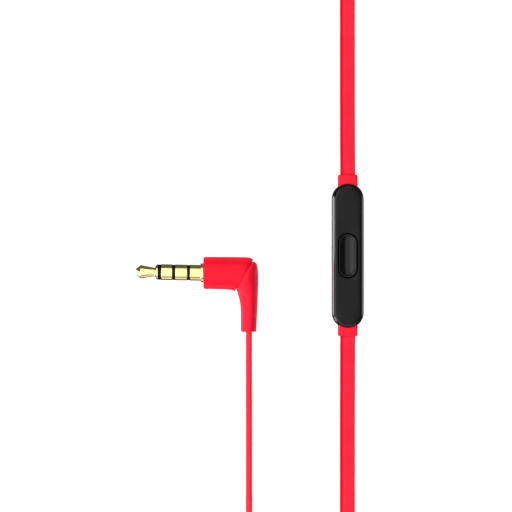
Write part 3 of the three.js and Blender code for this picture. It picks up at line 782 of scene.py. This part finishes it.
def make_contacts():
    nose = [(0.02, -0.02), (0.62, -0.01), (0.74, 0.06), (1.45, 0.96), (1.5, 1.06), (1.48, 1.2)]
    waist = [(1.28, 2.3), (1.12, 3.2), (0.98, 3.95), (0.97, 4.1), (1.04, 4.2)]
    collar = [(1.4, 4.36), (1.6, 4.48), (1.66, 4.54), (1.67, 4.79), (1.62, 4.83), (1.5, 4.83)]
    shoulder = [
        (1.54, 11.91), (1.72, 11.91), (PIN_RADIUS, 11.94), (PIN_RADIUS, 14.2), (2.02, 14.2), (2.1, 14.28),
        (2.1, 14.74), (2.04, 14.8), (1.6, 14.8), (1.6, 16.0),
    ]
    contacts = {
        "tip": nose + waist + collar,
        "ring_1": contact_profile(5.6, 7.95),
        "ring_2": contact_profile(8.66, 11.23),
        "sleeve": shoulder,
    }
    pieces = [
        skin(f"plug_contact_{name}", along_plug(profile), GOLD,
             replaces=f"plug_{name}", slot="gold", sharp=32)
        for name, profile in contacts.items()
    ]
    for number, (start, end) in enumerate([(4.83, 5.6), (7.95, 8.66), (11.23, 11.91)], 1):
        band = [(1.3, start), (BAND_RADIUS, start + 0.005), (BAND_RADIUS, end - 0.005), (1.3, end)]
        pieces.append(skin(f"plug_band_{number}", along_plug(band), INSULATOR,
                           replaces=f"plug_insulator_{number}", slot="insulator"))
    return pieces


def make_housing():
    """The plug's cylinder, whose end is cut on the slant and has a small lip at its lower corner."""
    start = PLUG_TIP[0] + HOUSING_START
    axis = PLUG_TIP[1]
    # (x on the axis, slope, top, bottom, half height)
    sections = [
        (start, 0, 3.2, 3.34, 3.2), (start + 0.05, 0, 3.36, 3.5, 3.34),
        (start + 0.16, 0, 3.42, 3.57, 3.42), (start + 0.36, 0, 3.47, 3.61, 3.45),
        (-9.5, 0, 3.46, 3.63, 3.45), (-7.6, 0.06, 3.45, 3.67, 3.45), (-6.0, 0.2, 3.44, 3.7, 3.44),
        (-4.6, 0.38, 3.42, 3.77, 3.42), (-3.6, 0.48, 3.37, 3.85, 3.4), (-2.92, 0.54, 3.23, 3.94, 3.37),
        (-2.55, 0.575, 3.0, 4.02, 3.34), (-2.37, 0.588, 2.84, 4.06, 3.26), (-2.3, 0.59, 2.7, 3.97, 3.08),
    ]

    def ring(x, slope, top, bottom, half, squareness):
        low, high = (x - slope * bottom, axis - bottom), (x + slope * top, axis + top)
        return section_between(low, high, half, squareness)

    outer = smooth_levels(np.array([ring(*section, 2.12) for section in sections]), keep=4)
    mouth = [ring(x, 0, r, r, r, 2.0) for x, r in ((start + 0.5, 1.85), (start + 0.02, 1.95))]
    return skin("plug_moulded_housing", np.vstack([mouth, outer]), SHELL,
                replaces="plug_housing", slot="red_shell", sharp=50)


def make_elbow():
    sections = [
        ((-4.3, -7.32), (-0.66, -1.24), 3.14), ((-4.2, -7.6), (-0.25, -1.32), 3.3),
        ((-4.1, -7.95), (0.18, -1.9), 3.26), ((-4.02, -8.25), (0.4, -3.1), 3.12),
        ((-3.91, -8.6), (0.47, -4.7), 2.96), ((-3.77, -9.1), (0.45, -6.6), 2.8),
        ((-3.57, -9.9), (0.39, -8.7), 2.66), ((-3.43, -11.0), (0.32, -10.6), 2.55),
        ((-3.36, -12.6), (0.22, -12.6), 2.45), ((-3.36, -14.6), (0.14, -14.6), 2.39),
        ((-3.36, ELBOW_END_Y + 0.3), (0.07, ELBOW_END_Y + 0.3), 2.35),
    ]
    body = smooth_levels(np.array([section_between(*s) for s in sections]), steps=5)
    # A smaller spigot goes into the housing, and fills the seam.
    spigot = [section_between(*s) for s in (
        ((-4.55, -7.08), (-1.15, -1.22), 3.0), ((-4.34, -7.26), (-0.84, -1.2), 3.14),
    )]
    end = ELBOW_END_Y
    ends = [section_between((-3.33, end + 0.1), (0.04, end + 0.1), 2.31),
            section_between((-3.24, end), (-0.05, end), 2.2)]
    mouth = []
    for y, grow in ((end, 0.32), (end + 0.05, 0.2), (end + 0.7, 0.16)):
        half_x, half_z = CORD_THICKNESS / 2 + grow, CORD_WIDTH / 2 + grow
        left, right = (PLUG_CORD_X - half_x, y), (PLUG_CORD_X + half_x, y)
        mouth.append(section_between(left, right, half_z, 3.6))
    return skin("plug_moulded_elbow", np.vstack([spigot, body, ends, mouth]), RUBBER,
                replaces="plug_elbow", slot="red_rubber", sharp=50)


# ---- Pill-shaped cases ----


def pill(size, place, angle, profile):
    """Rings of a stadium's outline about a place on the plan, from (inset, height) pairs."""
    rings = []
    for inset, z in profile:
        outline = stadium(size[0] - 2 * inset, size[1] - 2 * inset)
        level = np.c_[outline, np.full(len(outline), z)]
        rings.append(turned(level, angle) + [*place, 0.0])
    return rings


RIM_RADIUS, RIM_ARC, RIM_WIDTH = 2.0, 56, 1.0
COLLAR_DEPTH = 2.4


def case_front(name, size, split, height, place, angle, slot_size=None):
    """The upper shell: a glossy rounded rim, a fine groove, a flat satin face and, if asked, a slot."""
    side = [(0.12, split), (0.02, split + 0.06), (0.0, split + 0.2), (0.0, height - 1.62)]
    rim_top, face_z, inside = height - 0.05, height - 0.12, height - 1.15
    bead = []
    for tilt in np.radians(np.linspace(6, RIM_ARC, 10)):
        drop = RIM_RADIUS * (math.sin(math.radians(RIM_ARC)) - math.sin(tilt))
        bead.append((RIM_RADIUS * (1 - math.cos(tilt)), rim_top - drop))
    bead += [(RIM_WIDTH - 0.04, rim_top), (RIM_WIDTH, face_z)]
    groove = [
        (RIM_WIDTH + 0.02, height - 0.26), (RIM_WIDTH + 0.07, height - 0.26),
        (RIM_WIDTH + 0.09, height - 0.15),
    ]
    rim = pill(size, place, angle, side + bead + groove)
    face = pill(size, place, angle, [(RIM_WIDTH + 0.16, face_z)])
    under = pill(size, place, angle, [(0.9, inside), (0.8, split)])
    if slot_size:
        edge = [(-0.05, face_z), (-0.01, height - 0.135), (0.0, height - 0.17), (0.0, inside)]
        rings = rim + face + pill(slot_size, place, angle, edge) + under
        first = len(rim)
    else:
        middle = pill(size, place, angle, [(1.4, height - 0.1), (1.7, height - 0.1)])
        rings = under + rim + face + middle
        first = len(under) + len(rim)
    piece = skin(f"{name}_case_front", rings, BLACK, closed=bool(slot_size),
                 replaces=f"{name}_front_cover", slot="black_gloss")
    piece.data.materials.append(SATIN)
    # The satin runs from the groove, over the face, to the slot's edge or to the middle.
    count = len(rings[0])
    for polygon in list(piece.data.polygons)[(first - 3) * count:(first + 3) * count]:
        polygon.material_index = 1
    return piece


def case_back(name, size, split, place, angle):
    """The lower shell, resting on its flat back."""
    profile = [
        (1.1, 0.0), (0.86, 0.02), (0.56, 0.12), (0.3, 0.3), (0.12, 0.56), (0.03, 0.9), (0.0, 1.2),
        (0.0, split - 0.22), (0.02, split - 0.1), (0.12, split - 0.04), (0.5, split - 0.04),
    ]
    return skin(f"{name}_case_back", pill(size, place, angle, profile), BLACK,
                replaces=f"{name}_back_cover", slot="black_gloss")


def block_along(name, sections, centre, angle, material, mouth=None, **about):
    """A rounded block along +Y of its own frame, from (y, width, height, corner) sections; mouth
    is the (width, height) of the opening that a cord enters at its far end."""
    rings = []

    def add(y, width, height, corner):
        outline = rounded_box(width, height, corner)
        rings.append(np.c_[outline[:, 0], np.full(len(outline), y), outline[:, 1]])

    for section in sections:
        add(*section)
    if mouth:
        end, (width, height) = sections[-1][0], mouth
        add(end, width + 0.3, height + 0.3, 0.5)
        add(end - 0.08, width, height, 0.45)
        add(end - 0.6, width - 0.06, height - 0.06, 0.45)
    return skin(name, turned(np.array(rings), angle) + centre, material, **about)


def collar(name, start, end, width, height, mouth, centre, angle, **about):
    """A soft collar with rounded outer corners; start and end are along its outward direction."""
    sections = [
        (start, width, height, 0.5), (end - 0.42, width, height, 0.5),
        (end - 0.2, width - 0.08, height - 0.08, 0.5), (end - 0.06, width - 0.3, height - 0.3, 0.5),
        (end, width - 0.62, height - 0.62, 0.45),
    ]
    return block_along(name, sections, centre, angle, RUBBER, mouth, slot="red_rubber", sharp=60, **about)


def make_remote():
    # The visible case reaches a little lower on the plan than the CAD's, as its collars do.
    place, size = (REMOTE_X, REMOTE_Y - 0.08), (REMOTE_WIDTH, REMOTE_LENGTH + 0.14)
    pieces = [
        case_front("remote", size, REMOTE_SPLIT, REMOTE_HEIGHT, place, 0, SLOT_SIZE),
        case_back("remote", size, REMOTE_SPLIT, place, 0),
    ]
    half = REMOTE_LENGTH / 2
    for name, angle in (("top", 0.0), ("bottom", math.pi)):
        pieces.append(collar(
            f"remote_cord_collar_{name}", half - COLLAR_DEPTH, half + 1.86, 4.3, 2.8,
            (CORD_WIDTH + 0.14, CORD_THICKNESS + 0.14), [REMOTE_X, REMOTE_Y, PORT_Z], angle,
            replaces=f"remote_collar_{name}",
        ))
    pieces.append(make_button(place))
    return pieces


def make_button(place):
    """A dished key: its top sinks towards the middle, and a sloping flange stops it in the case."""
    width, length, top, dish_depth = 3.84, 9.48, 4.58, 0.66
    side = [
        (0.3, 3.49), (-0.42, 3.49), (-0.42, 3.58), (-0.27, 3.6), (0.0, 3.95), (0.0, top - 0.12),
        (0.015, top - 0.05), (0.05, top - 0.015), (0.1, top),
    ]
    dish = []
    for share in np.linspace(1.0, 0.0, 13):
        inset = width / 2 - 0.04 - (width / 2 - 0.2) * share
        dish.append((inset, top - dish_depth * (1 - share**2)))
    return skin("remote_dished_button", pill((width, length), place, 0, side + dish), BUTTON,
                body="button", replaces="remote_button", slot="black_button", sharp=60)


def make_splitter():
    place, size, angle = (SPLITTER_X, SPLITTER_Y), (SPLITTER_WIDTH, SPLITTER_LENGTH), -math.pi / 2
    pieces = [
        case_front("splitter", size, SPLITTER_SPLIT, SPLITTER_HEIGHT, place, angle),
        case_back("splitter", size, SPLITTER_SPLIT, place, angle),
    ]
    half = SPLITTER_LENGTH / 2
    one_cord, two_cords = CORD_THICKNESS + 0.14, 2 * CORD_THICKNESS + 0.44
    for name, width, mouth, turn in (
        ("main", 3.4, one_cord, angle), ("branches", 4.9, two_cords, angle + math.pi),
    ):
        pieces.append(collar(
            f"splitter_cord_collar_{name}", half - COLLAR_DEPTH, half + 1.7, width, 3.8,
            (mouth, CORD_WIDTH + 0.1), [*place, SPLITTER_PORT_Z], turn, replaces=f"splitter_collar_{name}",
        ))
    return pieces


# ---- Earbuds ----


def make_rear_cover(side, place):
    outer = fillet(
        [(0, 0.0), (5.35, 0.0), (6.2, 0.45), (6.5, 1.6), (6.5, 5.2), (5.7, 5.2), (5.7, 1.0), (0, 1.0)],
        [0, 0.5, 0.8, 0.8, 0.12, 0.1, 0.4, 0],
    )
    return skin(f"{side}_back_shell", lathe(outer) + place, BLACK,
                replaces=f"{side}_rear_cover", slot="black_gloss", sharp=50)


def make_trim(side, place):
    """A metal ring with turned grooves round its edge."""
    profile = [(5.65, 5.25), (6.5, 5.25), (6.6, 5.29), (6.65, 5.36)]
    for z in np.linspace(5.44, 5.98, 4):
        profile += [(6.65, z), (6.59, z + 0.045), (6.59, z + 0.075), (6.65, z + 0.12)]
    profile += [(6.6, 6.16), (6.5, 6.2), (5.65, 6.2)]
    return skin(f"{side}_turned_ring", lathe(profile, 96) + place, ANODISED, closed=True,
                replaces=f"{side}_trim_ring", slot="red_metal", sharp=25)


def make_front(side, place):
    """The front housing: its dome bends over into the leaning nozzle, which ends in a lip."""
    # (y, z, lean in degrees, radius) of each ring of the dome
    dome = [
        (0, 6.25, 0, 6.3), (0, 6.29, 0, 6.42), (0, 6.4, 0, 6.5), (0, 6.8, 0, 6.5), (0, 7.35, 0, 6.48),
        (0.1, 8.05, 3, 6.28), (0.42, 8.8, 8, 5.72), (0.86, 9.45, 14, 4.82), (1.3, 9.95, 19, 3.85),
        (1.66, 10.3, 23, 3.12), (1.92, 10.62, 25, 2.72),
    ]
    c, s = circle(64)
    rings = []
    for y, z, tilt, radius in dome:
        tilt = math.radians(tilt)
        across = radius * s
        rings.append(np.c_[radius * c, y + across * math.cos(tilt), z - across * math.sin(tilt)])
    rings = smooth_levels(np.array(rings), keep=3)
    nozzle = leaned(lathe([
        (2.53, 5.15), (2.5, 5.6), (2.5, 9.3), (2.58, 9.42), (2.76, 9.5), (2.8, 9.6), (2.8, 10.3),
        (2.74, 10.44), (2.6, 10.5), (1.85, 10.5), (1.72, 10.42), (1.7, 10.3), (1.7, 8.2),
    ]))
    return skin(f"{side}_front_shell", np.vstack([rings, nozzle]) + place, BLACK,
                replaces=f"{side}_front_housing", slot="black_gloss", sharp=50)


def make_grille(side, place):
    """Woven wires across the nozzle, trimmed to its bore."""
    bore, pitch, wire_radius, crimp, level = 1.58, 0.26, 0.055, 0.045, 9.75
    section = wire_radius * np.c_[circle(6)]
    shells = []
    for direction in (0, 1):
        for k, offset in enumerate(np.arange(-5, 6) * pitch):
            reach = math.sqrt(max(bore**2 - offset**2, 0))
            t = np.linspace(-reach, reach, 25)
            wave = crimp * np.cos(math.pi * (t / pitch + k + direction))
            line = np.c_[t, np.full(25, offset), level + wave]
            if direction:
                line = line[:, [1, 0, 2]]
            _, across, up = frames(line)
            shells.append(leaned(swept(line, section, across, up)) + place)
    name = f"{side}_wire_grille"
    return finish_piece(name, shell_mesh(name, shells), STEEL, FIXED,
                        replaces=f"{side}_nozzle_mesh", slot="steel")


def make_ear_tip(side, place):
    """A silicone mushroom: its inner sleeve grips the nozzle and its skirt folds back over it."""
    corners = [
        (2.92, 6.0), (3.5, 6.0), (3.55, 10.2), (4.5, 9.9), (5.25, 8.6), (5.55, 6.6), (5.5, 5.75),
        (5.98, 5.6), (6.2, 6.8), (5.95, 9.2), (5.2, 11.3), (4.0, 12.6), (2.8, 13.05), (1.95, 13.0),
        (1.76, 12.4), (1.76, 10.8), (2.92, 10.8),
    ]
    radii = [0.15, 0.25, 0.8, 0.8, 1.6, 1.2, 0.2, 0.25, 1.4, 2.2, 2.2, 1.6, 0.8, 0.35, 0.5, 0.15, 0.1]
    profile = fillet(corners, radii, steps=4)
    return skin(f"{side}_silicone_tip", leaned(lathe(profile, 72)) + place, SILICONE,
                body=f"{side}_tip", closed=True, replaces=f"{side}_ear_tip", slot="ear_tip", sharp=60)


def make_relief(side, place):
    """A tapering flat sleeve with ribs, out of the back shell's wall."""
    # (distance from the bud's axis, width, height, corner)
    sections = [
        (5.0, 2.4, 2.7, 0.5), (6.55, 2.4, 2.7, 0.5), (6.7, 3.3, 4.3, 0.9), (6.82, 3.46, 4.44, 1.0),
        (7.7, 3.3, 4.36, 1.0), (7.8, 3.2, 4.26, 1.0),
    ]
    for k in range(5):
        start, width, height = 8.15 + k * 0.82, 3.0 - 0.13 * k, 4.24 - 0.05 * k
        for step, cut in ((0.0, 0.34), (0.22, 0.34), (0.34, 0.04), (0.42, 0.0), (0.62, 0.0), (0.7, 0.04)):
            sections.append((start + step, width - cut, height - cut, 0.85))
    sections += [
        (12.5, 2.36, 3.94, 0.7), (13.3, 2.32, 3.9, 0.7), (13.44, 2.2, 3.78, 0.65), (13.5, 2.02, 3.6, 0.6),
    ]
    return block_along(f"{side}_ribbed_relief", sections, [place[0], place[1], RELIEF_Z],
                       RELIEF_ANGLES[side] - math.pi / 2, RUBBER,
                       (CORD_THICKNESS + 0.12, CORD_WIDTH + 0.1),
                       replaces=f"{side}_strain_relief", slot="red_rubber", sharp=45)


def make_earbud(side, place):
    place = np.array([place[0], place[1], 0.0])
    for make in (make_rear_cover, make_trim, make_front, make_grille, make_ear_tip):
        make(side, place)
    return make_relief(side, place)


# ---- Hank tie ----


def make_tie():
    """A hook-and-loop strap round the hank, its free end lapped over its top."""
    half, height, thick = 20.1, 4.7, 0.45
    corners = [
        (-half, 0.02), (half, 0.02), (half, height - 0.4), (12.0, height - 0.42), (0.0, height - 1.3),
        (-12.0, height - 0.42), (-half, height - 0.4),
    ]
    outline = fillet(corners, [1.4, 1.4, 1.5, 3.0, 6.0, 3.0, 1.5], steps=8) + [0.0, thick / 2]
    inside = half - thick / 2
    outline = np.clip(outline, [-inside, thick / 2 + 0.02], [inside, height])
    lapped = [(y, height + 0.1 + 0.02 * math.cos(y)) for y in np.linspace(12.4, 18.4, 14)]
    return [
        skin("hook_and_loop_tie", strap_rings(outline, thick, closed=True), STRAP, closed=True,
             replaces="cable_tie", slot="strap", sharp=50),
        skin("tie_lapped_end", strap_rings(lapped, 0.34, closed=False), STRAP, slot="strap", sharp=50),
    ]


def strap_rings(path, thick, closed):
    """A band across X whose middle follows (y, z) points about the hank's centre line."""
    path = np.asarray(path, float)
    if closed:
        along = np.roll(path, -1, axis=0) - np.roll(path, 1, axis=0)
    else:
        along = np.gradient(path, axis=0)
    along /= np.linalg.norm(along, axis=1)[:, None]
    flat = np.zeros(len(path))
    line = np.c_[flat + TIE_X, HANK_Y + path[:, 0], path[:, 1]]
    section = rounded_box(TIE_WIDTH, thick, 0.14, 4)
    return swept(line, section, np.c_[flat + 1, flat, flat], np.c_[flat, -along[:, 1], along[:, 0]])


# ---- Assembly ----

contacts = make_contacts()
plug_pieces = contacts + [make_housing(), make_elbow()]
remote_pieces = make_remote()
splitter_front, splitter_back, splitter_main_collar, splitter_branch_collar = make_splitter()
left_relief = make_earbud("left", LEFT_BUD)
right_relief = make_earbud("right", RIGHT_BUD)
tie_pieces = make_tie()

# The pieces that stay as CAD solids are all inside the housings.
inner_finishes = {
    "plug_inner_mould": MOULD,
    "remote_circuit_board": BOARD,
    "remote_switch_body": STEEL,
    "remote_switch_plunger": BUTTON,
    "remote_microphone": STEEL,
}
driver_finishes = {
    "driver_frame": BUTTON, "driver_yoke": STEEL, "driver_magnet": MAGNET, "driver_top_plate": STEEL,
    "voice_coil": COPPER, "diaphragm": FILM,
}
for side in ("left", "right"):
    inner_finishes.update({f"{side}_{part}": material for part, material in driver_finishes.items()})
for name, material in inner_finishes.items():
    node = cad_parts[name]
    node.data.materials.clear()
    node.data.materials.append(material)


# ---- Studio ----


def make_floor():
    """A plain pale sheet under the earphones."""
    reach, z = 2.5, CAD_BOX[0][2] - 0.00015
    corners = [(-reach, -reach, z), (reach, -reach, z), (reach, reach, z), (-reach, reach, z)]
    mesh = bpy.data.meshes.new("studio_floor")
    mesh.from_pydata(corners, [], [(0, 1, 2, 3)])
    mesh.materials.append(studio_floor())
    floor = bpy.data.objects.new("studio_floor", mesh)
    bpy.context.scene.collection.objects.link(floor)
    # Polished pieces reflect the studio's dark flags, not the sheet.
    floor.visible_glossy = False


class Sky(Nodes):
    """The studio round the object: soft panels of light, painted on the world by direction."""

    def __init__(self, ambient):
        world = bpy.data.worlds.new("studio")
        bpy.context.scene.world = world
        super().__init__(world)
        self.x, self.y, z = self.node("SeparateXYZ", vector=self.place["Generated"]).outputs
        self.tilt_x = self.calc("ARCTAN2", self.x, z)
        self.tilt_y = self.calc("ARCTAN2", self.y, z)
        self.total = ambient

    def edge(self, value, dark, bright):
        """0 at `dark`, rising smoothly to 1 at `bright`."""
        node = self.node("MapRange", value=value, from_min=dark, from_max=bright)
        node.interpolation_type = "SMOOTHSTEP"
        return node.outputs["Result"]

    def window(self, value, low, high, soft):
        return self.calc("MULTIPLY", self.edge(value, low - soft, low + soft),
                         self.edge(value, high + soft, high - soft))

    def panel(self, radiance, across, along):
        """Adds a panel where both windows, each (value, low, high, softness), are open."""
        shape = self.calc("MULTIPLY", self.window(*across), self.window(*along))
        self.total = self.calc("ADD", self.total, self.calc("MULTIPLY", shape, radiance))

    def finish(self):
        self.fill(self.tree.nodes["Background"], strength=self.total, color=(1.0, 1.0, 1.0, 1.0))


def make_studio():
    """Tilts are in degrees from straight up: + towards +X, or towards +Y."""
    sky = Sky(0.13)

    def tilt(value, *angles):
        return value, *map(math.radians, angles)

    sky.panel(1.34, tilt(sky.tilt_x, -60, 28, 6), tilt(sky.tilt_y, -62, 60, 5))
    sky.panel(1.4, tilt(sky.tilt_x, -86, -60, 3), (sky.y, -0.8, 0.06, 0.08))
    sky.panel(1.4, tilt(sky.tilt_x, -60, -26, 6), (sky.y, -0.8, 0.62, 0.12))
    sky.panel(7.5, tilt(sky.tilt_x, -128, -90, 4), (sky.y, -0.17, 0.17, 0.05))
    sky.panel(10.0, tilt(sky.tilt_x, -116, -88, 4), (sky.y, -0.62, -0.3, 0.06))
    sky.panel(2.2, tilt(sky.tilt_x, 108, 130, 5), (sky.y, -0.17, 0.17, 0.05))
    sky.panel(0.9, tilt(sky.tilt_y, -114, -80, 3), (sky.x, -0.6, 0.6, 0.1))
    sky.finish()


make_floor()
make_studio()
bpy.context.scene.view_settings.view_transform = "Standard"
bpy.context.scene.view_settings.look = "None"
